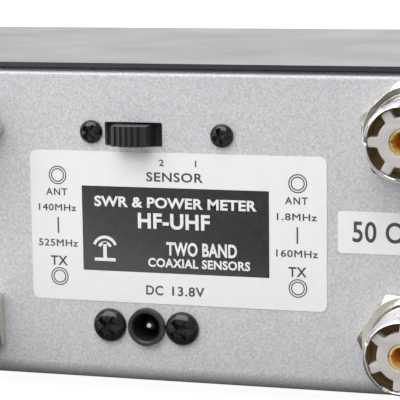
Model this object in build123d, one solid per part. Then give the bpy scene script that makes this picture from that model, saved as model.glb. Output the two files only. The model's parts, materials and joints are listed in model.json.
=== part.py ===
from build123d import *
import math
import os

# Bench SWR and power meter for amateur radio.
# Origin: on the table under the middle of the meter. +X right as seen from the front, the front faces -Y,
# the socket panel faces +Y, +Z up. Millimetres.

# ---- case ----
CASE_W = 168.0
CASE_D = 103.0
CASE_H = 68.9
FOOT_H = 4.2
PANEL_SHEET = 1.2
COVER_SHEET = 1.0
COVER_GAP = 0.2
COVER_OVERHANG = 0.9
COVER_BEND = 2.5
TOP_BEND = 1.8
BOTTOM_BEND = 3.6
TOP_FLANGE = 12.0
SIDE_FLANGE_H = 13.0

Y_REAR = CASE_D / 2
Y_FRONT = -CASE_D / 2
Z_BASE = FOOT_H
Z_LAYOUT = Z_BASE + 0.8  # height that the features of the panels are measured from
Z_TOP = FOOT_H + CASE_H
BEZEL_T = 4.0
Y_SUBPANEL = Y_FRONT + BEZEL_T
Y_BEHIND_SUBPANEL = Y_SUBPANEL + PANEL_SHEET
Y_BEHIND_REAR = Y_REAR - PANEL_SHEET
CHASSIS_W = CASE_W - 2 * (COVER_SHEET + COVER_GAP)
CHASSIS_H = CASE_H - COVER_SHEET - COVER_GAP
FOOT_X = 68.0
FOOT_Y = 38.0
FOOT_R = 7.0
COVER_SCREW_Y = 30.0
COVER_SCREW_Z = Z_BASE + 8.0

# ---- screws ----
M3_R = 1.45
M3_HOLE_R = 1.6
M3_HEAD_R = 2.8
M3_HEAD_H = 1.9
M25_R = 1.2
M25_HOLE_R = 1.35

# ---- UHF sockets: 5/8-24 thread, panel mounted, nut outside ----
HF_SOCKET_X = -50.25
VHF_SOCKET_X = 49.25
SOCKET_Z_ANT = Z_LAYOUT + 54.5
SOCKET_Z_TX = Z_LAYOUT + 11.7
SOCKET_REACH = 14.9
THREAD_R = 7.94
SHANK_R = 7.7
THREAD_START = 0.1
SHELL_BORE_R = 7.0
SOCKET_HOLE_R = 8.05
NUT_CIRCUM_R = 11.3
NUT_T = 2.9
NUT_BORE_R = 8.0
SOCKET_FLANGE_R = 8.8
SOCKET_FLANGE_T = 2.5
HUB_R = 5.0
POCKET_R = 6.75
POCKET_DEPTH = 6.0
SPOKE_W = 2.0
SPOKES = 6
INSULATOR_RECESS = 0.8
CONTACT_R = 2.63
CONTACT_BORE_R = 2.0
CONTACT_BORE_DEPTH = 11.0
CONTACT_RECESS = 1.1
CONTACT_SLIT = 0.5
TAIL_R = 1.4
Y_RIM = Y_REAR + SOCKET_REACH
Y_TAIL = 38.32
SOCKETS = {
    "hf_ant": (HF_SOCKET_X, SOCKET_Z_ANT),
    "hf_tx": (HF_SOCKET_X, SOCKET_Z_TX),
    "vhf_ant": (VHF_SOCKET_X, SOCKET_Z_ANT),
    "vhf_tx": (VHF_SOCKET_X, SOCKET_Z_TX),
}
NUT_TURN = {"hf_ant": 43.5, "hf_tx": 57.7, "vhf_ant": 56.0, "vhf_tx": 31.0}
SPOKE_TURN = {"hf_ant": 0.0, "hf_tx": 24.0, "vhf_ant": 12.0, "vhf_tx": 40.0}

# ---- sensor switch on the rear panel ----
SLOT_X = 9.07
SLOT_Z = Z_LAYOUT + 53.07
SLOT_W = 12.68
SLOT_H = 5.17
SENSOR_KNOB_W = 7.7
SENSOR_KNOB_H = 4.3
SENSOR_KNOB_X = 8.9
SENSOR_KNOB_REACH = 4.7
SENSOR_KNOB_SAG = 0.9
SENSOR_TRAVEL = 2.3
SENSOR_SCREWS = [(18.38, Z_LAYOUT + 53.45), (-10.23, Z_LAYOUT + 53.2)]
SENSOR_HEAD_R = 2.5
SENSOR_PLATE_T = 0.8

# ---- DC jack ----
JACK_X = 6.75
JACK_Z = Z_LAYOUT + 11.75
JACK_RING_R = 4.0
JACK_REACH = 1.2
JACK_BORE_R = 3.0
JACK_MOUTH_R = 3.35
JACK_PIN_R = 1.05
JACK_ROOT_R = 0.8
JACK_PIN_RECESS = 2.4
JACK_DEPTH = 13.5
JACK_FLOOR = 3.5
JACK_SCREW_X = (-1.1, 15.05)
JACK_FLANGE_W = 22.3
JACK_HEAD_R = 3.65
JACK_HEAD_H = 2.0

# ---- labels ----
LABEL_T = 0.15
LABEL_W = 64.8
LABEL_H = 32.4
LABEL_Z = Z_LAYOUT + 33.1
SMALL_LABEL_W = 24.0
SMALL_LABEL_H = 8.7
SMALL_LABEL_X = -46.7
SMALL_LABEL_Z = Z_LAYOUT + 33.9

# ---- sensor units behind the sockets ----
SENSOR_BOX_W = 31.0
SENSOR_BOX_Z = (Z_LAYOUT + 3.0, Z_LAYOUT + 64.0)
SENSOR_BOX_Y = (24.0, 47.7)
SENSOR_SHEET = 0.8
BOARD_T = 1.6

# ---- analogue meter ----
METER_X = -32.0
METER_Z = 40.0
METER_W = 84.0
METER_H = 52.0
METER_Y_BACK = -19.0
METER_WALL = 2.0
WINDOW_W = 76.0
WINDOW_H = 44.0
PANE_LIP = 2.0
PANE_T = 1.6
DIAL_Y = -41.6
DIAL_T = 0.8
PIVOT_Z = 28.0
NEEDLE_L = 31.0
NEEDLE_REST_DEG = -45.0
CORE_R = 6.2
GAP_R = 8.0
YOKE_R = 11.0
CORE_Y = (-37.0, -27.0)
COIL_Y = (-38.5, -25.5)
COIL_R = 7.5
COIL_WIRE = 1.0
ARBOR_R = 0.5
JEWEL_R = 0.55
ZERO_Z = 11.0
ZERO_R = 2.5

# ---- front controls ----
LEVER_X = 52.0
LEVERS = {"range_lever": (62.0, -3.0, 3.0), "function_lever": (50.0, -3.0, 3.0), "power_lever": (38.0, 0.0, 3.0)}
LEVER_CAP = (8.0, 4.8, 5.0)
LEVER_STEM = (4.0, 2.2)
LEVER_SIDE_GAP = 0.3
SWITCH_BODY = (22.0, 9.0)
BUTTON_X = 31.0
BUTTON_Z = 20.0
BUTTON_R = 3.2
BUTTON_GAP = 0.12
BUTTON_TRAVEL = 2.0
CAL_X = 62.0
CAL_Z = 20.0
CAL_KNOB_R = 8.0
CAL_SHAFT_R = 3.0
CAL_BUSH_R = 3.5
CAL_GAP = 0.4
BOARD_Y = -34.0


def block(x0, x1, y0, y1, z0, z1):
    """A box between six planes."""
    return Pos((x0 + x1) / 2, (y0 + y1) / 2, (z0 + z1) / 2) * Box(x1 - x0, y1 - y0, z1 - z0)


def rod(radius, y0, y1, x, z):
    """A cylinder along Y between two depths."""
    return Pos(x, (y0 + y1) / 2, z) * Rot(90, 0, 0) * Cylinder(radius, y1 - y0)


def ring(outer, inner, y0, y1, x, z):
    """A tube along Y."""
    return rod(outer, y0, y1, x, z) - rod(inner, y0 - 1, y1 + 1, x, z)


def hexagon(circumradius, y0, y1, x, z, turn):
    """A hexagonal prism along Y, turned about its axis."""
    prism = extrude(RegularPolygon(circumradius, 6), y1 - y0)
    return Pos(x, y0, z) * Rot(-90, 0, 0) * Rot(0, 0, turn) * prism


def panel_plate(width, height, corner, y0, y1, x, z):
    """A plate facing Y with rounded corners."""
    face = RectangleRounded(width, height, corner)
    return Pos(x, y0, z) * Rot(-90, 0, 0) * extrude(face, y1 - y0)


def cross_recess(size, depth, y_face, x, z, out, turn):
    """The cross-shaped driver recess of a screw head that faces +Y or -Y."""
    arm = size * 0.26
    y0, y1 = sorted((y_face + out * 0.5, y_face - out * depth))
    cross = block(-size, size, y0, y1, -arm, arm) + block(-arm, arm, y0, y1, -size, size)
    return Pos(x, 0, z) * Rot(0, turn, 0) * cross


def panel_screw(head_r, head_h, shank_r, length, y_face, x, z, out, turn):
    """A domed cross-head screw driven into a panel that faces +Y (out = 1) or -Y (out = -1)."""
    dome_r = (head_r**2 + head_h**2) / (2 * head_h)
    head = Pos(x, y_face + out * (head_h - dome_r), z) * Sphere(dome_r)
    y0, y1 = sorted((y_face, y_face + out * head_h))
    head = head & rod(head_r, y0, y1, x, z)
    y0, y1 = sorted((y_face, y_face - out * length))
    shank = rod(shank_r, y0, y1, x, z)
    return head + shank - cross_recess(head_r * 0.52, head_h * 0.6, y_face + out * head_h, x, z, out, turn)


def save(name, shape):
    """Write one named piece."""
    shape.label = name
    export_step(shape, f"parts/{name}.step")


def group(shapes):
    """Separate solids kept in one piece."""
    return Compound(children=[s for shape in shapes for s in shape.solids()])


# ---- case ----


def side_profile(y0, y1, z0, z1, top_r, bottom_r):
    """A rounded rectangle in the YZ plane, as wide as the chassis."""
    face = Rectangle(y1 - y0, z1 - z0)
    top = face.vertices().filter_by(lambda v: v.Y > 0)
    face = fillet(top, top_r)
    bottom = face.vertices().filter_by(lambda v: v.Y < -(z1 - z0) / 4)
    face = fillet(bottom, bottom_r)
    middle = Plane(origin=(0, (y0 + y1) / 2, (z0 + z1) / 2), x_dir=(0, 1, 0), z_dir=(1, 0, 0))
    return middle * extrude(face, CHASSIS_W / 2, both=True)


def chassis():
    """One bent sheet: bottom, rear panel and front sub-panel, with top and side flanges and all the cut-outs."""
    z1 = Z_BASE + CHASSIS_H
    s = PANEL_SHEET
    outer = side_profile(Y_SUBPANEL, Y_REAR, Z_BASE, z1, TOP_BEND, BOTTOM_BEND)
    inner = side_profile(Y_SUBPANEL + s, Y_REAR - s, Z_BASE + s, z1 - s, TOP_BEND - s, BOTTOM_BEND - s)
    half = CHASSIS_W / 2
    body = (outer - inner) & cover_profile(half, z1, TOP_BEND, Y_FRONT, Y_REAR)
    body -= block(-half - 1, half + 1, Y_SUBPANEL + TOP_FLANGE, Y_REAR - TOP_FLANGE, z1 - s - 1, z1 + 1)
    for side in (-1, 1):
        x0, x1 = sorted((side * half, side * (half - s)))
        body += block(x0, x1, -40, 44, Z_BASE + s / 2, Z_BASE + SIDE_FLANGE_H)
        for y in (-COVER_SCREW_Y, COVER_SCREW_Y):
            body -= Pos(side * half, y, COVER_SCREW_Z) * Rot(0, 90, 0) * Cylinder(M3_HOLE_R, 8)
    for x in (-FOOT_X, FOOT_X):
        for y in (-FOOT_Y, FOOT_Y):
            body -= Pos(x, y, Z_BASE) * Cylinder(M3_HOLE_R, 8)
    return body - rear_cutouts() - front_cutouts()


def rear_cutouts():
    """Everything that passes through the rear panel."""
    y0, y1 = Y_REAR - 4, Y_REAR + 1
    cuts = [rod(SOCKET_HOLE_R, y0, y1, x, z) for x, z in SOCKETS.values()]
    cuts.append(panel_plate(SLOT_W, SLOT_H, 0.4, y0, y1, SLOT_X, SLOT_Z))
    cuts += [rod(M25_HOLE_R, y0, y1, x, z) for x, z in SENSOR_SCREWS]
    cuts.append(rod(JACK_RING_R + 0.1, y0, y1, JACK_X, JACK_Z))
    cuts += [rod(M3_HOLE_R, y0, y1, x, JACK_Z) for x in JACK_SCREW_X]
    return group(cuts)


def lever_slot(name, y0, y1):
    """The slot that one slide lever's stem runs in."""
    z, low, high = LEVERS[name]
    half_w, half_h = LEVER_STEM[0] / 2 + LEVER_SIDE_GAP, LEVER_STEM[1] / 2 + LEVER_SIDE_GAP
    return block(LEVER_X + low - half_w, LEVER_X + high + half_w, y0, y1, z - half_h, z + half_h)


def front_cutouts():
    """Everything that passes through the front sub-panel."""
    y0, y1 = Y_SUBPANEL - 1, Y_BEHIND_SUBPANEL + 1
    cuts = [panel_plate(WINDOW_W + 2, WINDOW_H + 2, 2, y0, y1, METER_X, METER_Z)]
    cuts.append(rod(ZERO_R + 1.0, y0, y1, METER_X, ZERO_Z))
    cuts += [lever_slot(name, y0, y1) for name in LEVERS]
    cuts.append(rod(BUTTON_R + BUTTON_GAP, y0, y1, BUTTON_X, BUTTON_Z))
    cuts.append(rod(CAL_BUSH_R + 0.1, y0, y1, CAL_X, CAL_Z))
    return group(cuts)


def cover_profile(half_w, z1, bend, y0, y1):
    """A solid with two rounded upper edges that runs along Y."""
    face = Rectangle(2 * half_w, z1 - Z_BASE)
    face = fillet(face.vertices().filter_by(lambda v: v.Y > 0), bend)
    return Pos(0, y1, (Z_BASE + z1) / 2) * Rot(90, 0, 0) * extrude(face, y1 - y0)


def top_cover():
    """The U-shaped cover: top and both sides."""
    half = CASE_W / 2
    y0, y1 = Y_FRONT, Y_REAR + COVER_OVERHANG
    body = cover_profile(half, Z_TOP, COVER_BEND, y0, y1)
    inner_bend = COVER_BEND - COVER_SHEET
    body -= cover_profile(half - COVER_SHEET, Z_TOP - COVER_SHEET, inner_bend, y0 - 1, y1 + 1)
    for side in (-1, 1):
        for y in (-COVER_SCREW_Y, COVER_SCREW_Y):
            body -= Pos(side * half, y, COVER_SCREW_Z) * Rot(0, 90, 0) * Cylinder(M3_HOLE_R, 6)
    return body


def cover_screws():
    """Two screws in each side of the cover."""
    screws = []
    for side in (-1, 1):
        for y in (-COVER_SCREW_Y, COVER_SCREW_Y):
            screw = panel_screw(M3_HEAD_R, M3_HEAD_H, M3_R, 6, 0, 0, 0, 1, 20)
            screws.append(Pos(side * CASE_W / 2, y, COVER_SCREW_Z) * Rot(0, 0, -90 * side) * screw)
    return group(screws)


def rubber_feet():
    """Four tapered feet with a countersunk recess for the screw."""
    feet = []
    for x in (-FOOT_X, FOOT_X):
        for y in (-FOOT_Y, FOOT_Y):
            foot = Cone(FOOT_R - 0.8, FOOT_R, FOOT_H) - Cylinder(M3_HOLE_R, 2 * FOOT_H)
            foot -= Pos(0, 0, -FOOT_H / 2 + 1.2) * Cylinder(M3_HEAD_R + 0.4, 2.6)
            feet.append(Pos(x, y, FOOT_H / 2) * foot)
    return group(feet)


def foot_screws():
    """A screw up through each foot into the bottom plate."""
    screws = []
    for x in (-FOOT_X, FOOT_X):
        for y in (-FOOT_Y, FOOT_Y):
            screw = panel_screw(M3_HEAD_R, 1.7, M3_R, 5, 0, 0, 0, 1, 10)
            screws.append(Pos(x, y, 2.5) * Rot(-90, 0, 0) * screw)
    return group(screws)


def front_bezel():
    """The moulded front with the window opening, its rebate and the control openings."""
    bezel = cover_profile(CHASSIS_W / 2 - 0.2, Z_BASE + CHASSIS_H, TOP_BEND, Y_FRONT, Y_SUBPANEL)
    bezel = chamfer(bezel.edges().group_by(Axis.Y)[0], 0.8)
    y0, y1 = Y_FRONT - 1, Y_SUBPANEL + 1
    bezel -= panel_plate(WINDOW_W, WINDOW_H, 2, y0, y1, METER_X, METER_Z)
    pane_w, pane_h = WINDOW_W + 2 * PANE_LIP + 0.2, WINDOW_H + 2 * PANE_LIP + 0.2
    bezel -= panel_plate(pane_w, pane_h, 2, Y_SUBPANEL - 2, y1, METER_X, METER_Z)
    bezel -= rod(ZERO_R + 0.08, y0, y1, METER_X, ZERO_Z)
    for name in LEVERS:
        bezel -= lever_slot(name, y0, y1)
    bezel -= rod(BUTTON_R + BUTTON_GAP, y0, y1, BUTTON_X, BUTTON_Z)
    return bezel - rod(CAL_BUSH_R + 0.1, y0, y1, CAL_X, CAL_Z)


# ---- UHF sockets ----


def socket_shell(x, z):
    """The threaded barrel with its flange behind the panel and four notches in the rim."""
    shell = rod(SOCKET_FLANGE_R, Y_BEHIND_REAR - SOCKET_FLANGE_T, Y_BEHIND_REAR, x, z)
    y_thread = Y_REAR + NUT_T + THREAD_START
    shell += rod(SHANK_R, Y_BEHIND_REAR, y_thread, x, z) + rod(THREAD_R, y_thread, Y_RIM, x, z)
    shell -= rod(SHELL_BORE_R, Y_BEHIND_REAR, Y_RIM + 1, x, z)
    shell -= rod(HUB_R, Y_BEHIND_REAR - SOCKET_FLANGE_T - 1, Y_BEHIND_REAR + 1, x, z)
    notches = block(-9, 9, Y_RIM - 0.8, Y_RIM + 1, -0.8, 0.8) + block(-0.8, 0.8, Y_RIM - 0.8, Y_RIM + 1, -9, 9)
    return shell - Pos(x, 0, z) * Rot(0, 45, 0) * notches


def socket_insulator(x, z, turn):
    """The moulded insulator: a hub joined to a rim by spokes with deep pockets between them."""
    y_face = Y_RIM - INSULATOR_RECESS
    body = rod(SHELL_BORE_R, Y_BEHIND_REAR, y_face, x, z)
    body += rod(HUB_R, Y_BEHIND_REAR - SOCKET_FLANGE_T - 2, Y_BEHIND_REAR, x, z)
    pockets = ring(POCKET_R, HUB_R, y_face - POCKET_DEPTH, y_face + 1, x, z)
    for k in range(SPOKES // 2):
        spoke = block(-SHELL_BORE_R, SHELL_BORE_R, y_face - 10, y_face + 2, -SPOKE_W / 2, SPOKE_W / 2)
        pockets -= Pos(x, 0, z) * Rot(0, turn + k * 360 / SPOKES, 0) * spoke
    return body - pockets - rod(CONTACT_R, Y_TAIL, Y_RIM, x, z)


def socket_contact(x, z):
    """The slit contact tube with its solder tail."""
    y_face = Y_RIM - CONTACT_RECESS
    y_back = Y_BEHIND_REAR - SOCKET_FLANGE_T - 2
    body = rod(CONTACT_R, y_back, y_face, x, z) + rod(TAIL_R, Y_TAIL, y_back, x, z)
    body -= rod(CONTACT_BORE_R, y_face - CONTACT_BORE_DEPTH, y_face + 1, x, z)
    slit = block(-4, 4, y_face - 8, y_face + 1, -CONTACT_SLIT / 2, CONTACT_SLIT / 2)
    for angle in (-5, 85):
        body -= Pos(x, 0, z) * Rot(0, angle, 0) * slit
    return body


def socket_nuts():
    """The four panel nuts, each stopped at its own angle."""
    nuts = []
    for name, (x, z) in SOCKETS.items():
        nut = hexagon(NUT_CIRCUM_R, Y_REAR, Y_REAR + NUT_T, x, z, NUT_TURN[name])
        cone = Cone(NUT_CIRCUM_R + 0.2, NUT_CIRCUM_R - 1.6, NUT_T)
        nut &= Pos(x, Y_REAR + NUT_T / 2, z) * Rot(-90, 0, 0) * cone
        nuts.append(nut - rod(NUT_BORE_R, Y_REAR - 1, Y_REAR + NUT_T + 1, x, z))
    return group(nuts)


# ---- sensor switch ----


def sensor_switch_frame():
    """The metal plate that carries the switch behind the panel."""
    xs = [x for x, _ in SENSOR_SCREWS]
    y0, y1 = Y_BEHIND_REAR - SENSOR_PLATE_T, Y_BEHIND_REAR
    plate = block(min(xs) - 3.5, max(xs) + 3.5, y0, y1, SLOT_Z - 4.2, SLOT_Z + 4.6)
    plate -= block(SLOT_X - 6.4, SLOT_X + 6.4, y0 - 1, y1 + 1, SLOT_Z - 2.6, SLOT_Z + 2.6)
    for x, z in SENSOR_SCREWS:
        plate -= rod(M25_R + 0.05, y0 - 1, y1 + 1, x, z)
    return plate


def sensor_switch_body():
    """The switch body with the groove that the stem runs in."""
    y1 = Y_BEHIND_REAR - SENSOR_PLATE_T
    body = block(SLOT_X - 8.0, SLOT_X + 7.0, y1 - 9, y1, SLOT_Z - 4, SLOT_Z + 4)
    body -= block(SENSOR_KNOB_X - 2.3, SENSOR_KNOB_X + SENSOR_TRAVEL + 2.3, y1 - 6, y1 + 1, SLOT_Z - 1.4, SLOT_Z + 1.4)
    for k in range(6):
        lug = block(-0.9, 0.9, y1 - 11.5, y1 - 9, -0.25, 0.25)
        body += Pos(SLOT_X - 4.5 + 4 * (k % 3), 0, SLOT_Z - 2 + 4 * (k // 3)) * lug
    return body


def sensor_switch_knob():
    """The knob: a block with a slightly bowed, ribbed front, on a stem."""
    half = SENSOR_KNOB_W / 2
    y0 = Y_BEHIND_REAR - SENSOR_PLATE_T + 0.1
    y_edge = Y_REAR + SENSOR_KNOB_REACH - SENSOR_KNOB_SAG
    left, right = (SENSOR_KNOB_X - half, y_edge), (SENSOR_KNOB_X + half, y_edge)
    sides = Polyline(left, (left[0], y0), (right[0], y0), right)
    bow = ThreePointArc(right, (SENSOR_KNOB_X, Y_REAR + SENSOR_KNOB_REACH), left)
    knob = extrude(make_face([sides, bow]), SENSOR_KNOB_H)
    knob = Pos(0, 0, SLOT_Z - SENSOR_KNOB_H / 2) * knob
    for k in range(5):
        x = SENSOR_KNOB_X + (k - 1.6) * 1.27
        knob -= block(x - 0.25, x + 0.25, y_edge + 0.1, y_edge + 2, SLOT_Z - 3, SLOT_Z + 3)
    return knob + block(SENSOR_KNOB_X - 2, SENSOR_KNOB_X + 2, 44.2, y0, SLOT_Z - 1.1, SLOT_Z + 1.1)


def sensor_switch_screws():
    """The two small screws beside the slot."""
    args = (SENSOR_HEAD_R, 1.5, M25_R, 5, Y_REAR)
    return group([panel_screw(*args, x, z, 1, turn) for (x, z), turn in zip(SENSOR_SCREWS, (20, 50))])


# ---- DC jack ----


def dc_jack_body():
    """The jack: a round barrel with a flange behind the panel and a blind bore."""
    y_face = Y_REAR + JACK_REACH
    y_back = Y_REAR - JACK_DEPTH
    body = rod(JACK_RING_R, y_back, y_face, JACK_X, JACK_Z)
    body += panel_plate(JACK_FLANGE_W, 8.6, 2, Y_BEHIND_REAR - 2.2, Y_BEHIND_REAR, JACK_X, JACK_Z)
    body -= rod(JACK_BORE_R, y_back + JACK_FLOOR, y_face + 1, JACK_X, JACK_Z)
    flare = Cone(JACK_MOUTH_R, JACK_BORE_R, JACK_MOUTH_R - JACK_BORE_R)
    body -= Pos(JACK_X, y_face - (JACK_MOUTH_R - JACK_BORE_R) / 2, JACK_Z) * Rot(90, 0, 0) * flare
    body -= rod(JACK_ROOT_R, y_back - 1, y_face, JACK_X, JACK_Z)
    body -= spring_leaf(0.02)
    for x in JACK_SCREW_X:
        body -= rod(M3_R + 0.05, Y_BEHIND_REAR - 4, Y_BEHIND_REAR + 1, x, JACK_Z)
    return body


def dc_jack_pin():
    """The centre pin, with a rounded tip and a solder tail."""
    y_tip = Y_REAR + JACK_REACH - JACK_PIN_RECESS
    y_back = Y_REAR - JACK_DEPTH
    y_floor = y_back + JACK_FLOOR + 0.1
    pin = rod(JACK_ROOT_R, y_back - 3, y_floor, JACK_X, JACK_Z) + rod(JACK_PIN_R, y_floor, y_tip - 0.6, JACK_X, JACK_Z)
    return pin + Pos(JACK_X, y_tip - 0.6, JACK_Z) * Rot(-90, 0, 0) * Pos(0, 0, 0.3) * Cone(JACK_PIN_R, 0.5, 0.6)


def spring_leaf(grow):
    """The side contact leaf in the bore, with its foot in the floor."""
    y_back = Y_REAR - JACK_DEPTH
    leaf = block(-0.8 - grow, 0.8 + grow, y_back - 3, Y_REAR - 1.5, 2.35 - grow, 2.6 + grow)
    return Pos(JACK_X, 0, JACK_Z) * Rot(0, -50, 0) * leaf


def dc_jack_screws():
    """The two broad-headed screws that hold the jack."""
    args = (JACK_HEAD_R, JACK_HEAD_H, M3_R, 6, Y_REAR)
    return group([panel_screw(*args, x, JACK_Z, 1, turn) for x, turn in zip(JACK_SCREW_X, (45, 38))])


# ---- sensor units ----


def sensor_box(x):
    """A sheet tray behind one pair of sockets, open at its front end."""
    y0, y1 = SENSOR_BOX_Y
    z0, z1 = SENSOR_BOX_Z
    s = SENSOR_SHEET
    half = SENSOR_BOX_W / 2
    tray = block(x - half, x + half, y0, y1, z0, z1)
    tray -= block(x - half + s, x + half - s, y0 - 1, y1 - s, z0 + s, z1 - s)
    for z in (SOCKET_Z_ANT, SOCKET_Z_TX):
        tray -= rod(HUB_R + 0.2, y1 - 2, y1 + 1, x, z)
    return tray


def hf_line():
    """The round through line between the two HF contacts."""
    length = SOCKET_Z_ANT - SOCKET_Z_TX + 5
    return Pos(HF_SOCKET_X, Y_TAIL - 1.22, (SOCKET_Z_ANT + SOCKET_Z_TX) / 2) * Cylinder(1.2, length)


def hf_toroid():
    """The current transformer ring around the HF line."""
    core = Cylinder(6.4, 7) - Cylinder(3.2, 9)
    return Pos(HF_SOCKET_X, Y_TAIL - 1.22, (SOCKET_Z_ANT + SOCKET_Z_TX) / 2) * core


def vhf_line():
    """The flat through line between the two VHF contacts."""
    z_mid = (SOCKET_Z_ANT + SOCKET_Z_TX) / 2
    half = (SOCKET_Z_ANT - SOCKET_Z_TX) / 2 + 2.5
    return block(VHF_SOCKET_X - 2.5, VHF_SOCKET_X + 2.5, Y_TAIL - 1.52, Y_TAIL - 0.02, z_mid - half, z_mid + half)


def sensor_board(x, y0):
    """A small circuit board with a row of parts on its front side."""
    board = block(x - 13, x + 13, y0, y0 + BOARD_T, Z_LAYOUT + 8, Z_LAYOUT + 59)
    for k in range(5):
        z = Z_LAYOUT + 16 + 9 * k
        board += block(x - 8, x - 4, y0 - 1.5, y0, z, z + 2.5)
        board += block(x + 3, x + 8, y0 - 1.2, y0, z, z + 2)
    return board


# ---- analogue meter ----


def meter_housing():
    """The meter case, open to the front, with two posts for the yoke."""
    half_w, half_h, wall = METER_W / 2, METER_H / 2, METER_WALL
    y0, y1 = Y_BEHIND_SUBPANEL, METER_Y_BACK
    x, z = METER_X, METER_Z
    body = block(x - half_w, x + half_w, y0, y1, z - half_h, z + half_h)
    body -= block(x - half_w + wall, x + half_w - wall, y0 - 1, y1 - wall, z - half_h + wall, z + half_h - wall)
    for side in (-1, 1):
        body += rod(1.4, CORE_Y[1], y1 - wall, x, PIVOT_Z + side * 9.5)
    return body


def meter_window():
    """The clear pane in the rebate of the front."""
    w, h = WINDOW_W + 2 * PANE_LIP, WINDOW_H + 2 * PANE_LIP
    return panel_plate(w, h, 1.9, Y_SUBPANEL - 2, Y_SUBPANEL - 2 + PANE_T, METER_X, METER_Z)


def meter_dial():
    """The scale plate, with a hole for the arbor."""
    w, h = METER_W - 2 * METER_WALL - 0.1, METER_H - 2 * METER_WALL - 0.1
    dial = panel_plate(w, h, 0.5, DIAL_Y - DIAL_T, DIAL_Y, METER_X, METER_Z)
    return dial - rod(2.2, DIAL_Y - 2, DIAL_Y + 1, METER_X, PIVOT_Z)


def meter_yoke():
    """The iron ring around the coil, with the two webs that hold the core."""
    y0, y1 = CORE_Y
    yoke = ring(YOKE_R, GAP_R, y0, y1, METER_X, PIVOT_Z)
    webs = ring(GAP_R + 0.5, CORE_R, y0 + 3, y1 - 3, METER_X, PIVOT_Z)
    return yoke + (webs & block(METER_X - 1.5, METER_X + 1.5, y0, y1, PIVOT_Z - 12, PIVOT_Z + 12))


def at_rest(shape):
    """Turn a piece of the movement from mid-scale to its rest angle."""
    return Pos(METER_X, 0, PIVOT_Z) * Rot(0, NEEDLE_REST_DEG, 0) * shape


def moving_coil():
    """The wound frame that turns around the core."""
    y0, y1 = COIL_Y
    w = COIL_WIRE
    coil = block(-COIL_R, COIL_R, y0, y1, -1, 1)
    return at_rest(coil - block(-COIL_R + w, COIL_R - w, y0 + 0.8, y1 - 0.8, -2, 2))


def meter_arbor():
    """The two arbor stubs at the ends of the coil."""
    front = rod(ARBOR_R, -44.2, COIL_Y[0], METER_X, PIVOT_Z)
    return group([front, rod(ARBOR_R, COIL_Y[1], -23.4, METER_X, PIVOT_Z)])


def meter_needle():
    """The pointer with its hub and tail weight."""
    points = [(-0.8, -7), (0.8, -7), (0.7, 0), (0.2, NEEDLE_L), (-0.2, NEEDLE_L), (-0.7, 0)]
    pointer = Rot(90, 0, 0) * extrude(Polygon(*points, align=None), 0.5)
    pointer = Pos(0, -43.1, 0) * pointer
    pointer += rod(1.8, -43.9, -42.9, 0, 0) + rod(1.3, -43.9, -42.9, 0, -6.5)
    return at_rest(pointer - rod(ARBOR_R, -46, -41, 0, 0))


def meter_bridges():
    """Front and rear bars that carry the jewel bearings, on pillars from the yoke."""
    bars = []
    for bar_y, pillar_y in (((-40.6, -39.6), (-39.6, CORE_Y[0])), ((-24.4, -23.4), (CORE_Y[1], -24.4))):
        bar = block(METER_X - 11, METER_X + 11, *bar_y, PIVOT_Z - 2, PIVOT_Z + 2)
        for side in (-1, 1):
            bar += rod(1.2, *pillar_y, METER_X + side * 9.5, PIVOT_Z)
        bars.append(bar - rod(JEWEL_R, bar_y[0] - 1, bar_y[1] + 1, METER_X, PIVOT_Z))
    return group(bars)


def hairspring():
    """A flat spiral between the coil and the front bridge."""
    turns, r0, r1, thick = 3, 1.3, 3.4, 0.15
    steps = 16 * turns

    def spiral(offset):
        points = []
        for k in range(steps + 1):
            r = r0 + (r1 - r0) * k / steps + offset
            a = 2 * math.pi * turns * k / steps
            points.append((r * math.cos(a), r * math.sin(a)))
        return points

    inner, outer = spiral(0), spiral(thick)
    edges = [Spline(*inner), Line(inner[-1], outer[-1]), Spline(*outer), Line(outer[0], inner[0])]
    coil = Rot(90, 0, 0) * extrude(make_face(edges), 0.4)
    return Pos(METER_X, -38.8, PIVOT_Z) * coil


def zero_adjuster():
    """The slotted zero screw with an eccentric pin behind."""
    y_face = Y_FRONT - 0.9
    body = rod(ZERO_R, Y_FRONT - 0.2, Y_SUBPANEL + 0.2, METER_X, ZERO_Z)
    body += rod(ZERO_R + 0.9, y_face, Y_FRONT - 0.1, METER_X, ZERO_Z)
    body -= block(METER_X - 2.4, METER_X + 2.4, y_face - 1, y_face + 0.5, ZERO_Z - 0.4, ZERO_Z + 0.4)
    return body + rod(0.6, Y_SUBPANEL, Y_SUBPANEL + 3, METER_X, ZERO_Z + 1.3)


# ---- front controls ----


def slide_lever(name):
    """A finger cap outside the front on a stem that reaches into its switch."""
    z = LEVERS[name][0]
    w, reach, h = LEVER_CAP
    y1 = Y_FRONT - 0.25
    cap = block(LEVER_X - w / 2, LEVER_X + w / 2, y1 - reach, y1, z - h / 2, z + h / 2)
    cap = chamfer(cap.edges().group_by(Axis.Y)[0], 0.6)
    for k in range(3):
        x = LEVER_X + (k - 1) * 1.8
        cap -= block(x - 0.35, x + 0.35, y1 - reach - 1, y1 - reach + 0.5, z - h, z + h)
    half_w, half_h = LEVER_STEM[0] / 2, LEVER_STEM[1] / 2
    return cap + block(LEVER_X - half_w, LEVER_X + half_w, y1, -42.0, z - half_h, z + half_h)


def front_switch_bodies():
    """The three slide switches and the push switch, which stand on the control board."""
    bodies = []
    w, h = SWITCH_BODY
    for name, (z, _, _) in LEVERS.items():
        body = block(LEVER_X - w / 2, LEVER_X + w / 2, Y_BEHIND_SUBPANEL, BOARD_Y, z - h / 2, z + h / 2)
        bodies.append(body - lever_slot(name, Y_BEHIND_SUBPANEL - 1, -41.6))
    push = block(BUTTON_X - 4.5, BUTTON_X + 4.5, -43.0, BOARD_Y, BUTTON_Z - 4.5, BUTTON_Z + 4.5)
    bodies.append(push - rod(1.3, -44, -37.0, BUTTON_X, BUTTON_Z))
    return group(bodies)


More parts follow.
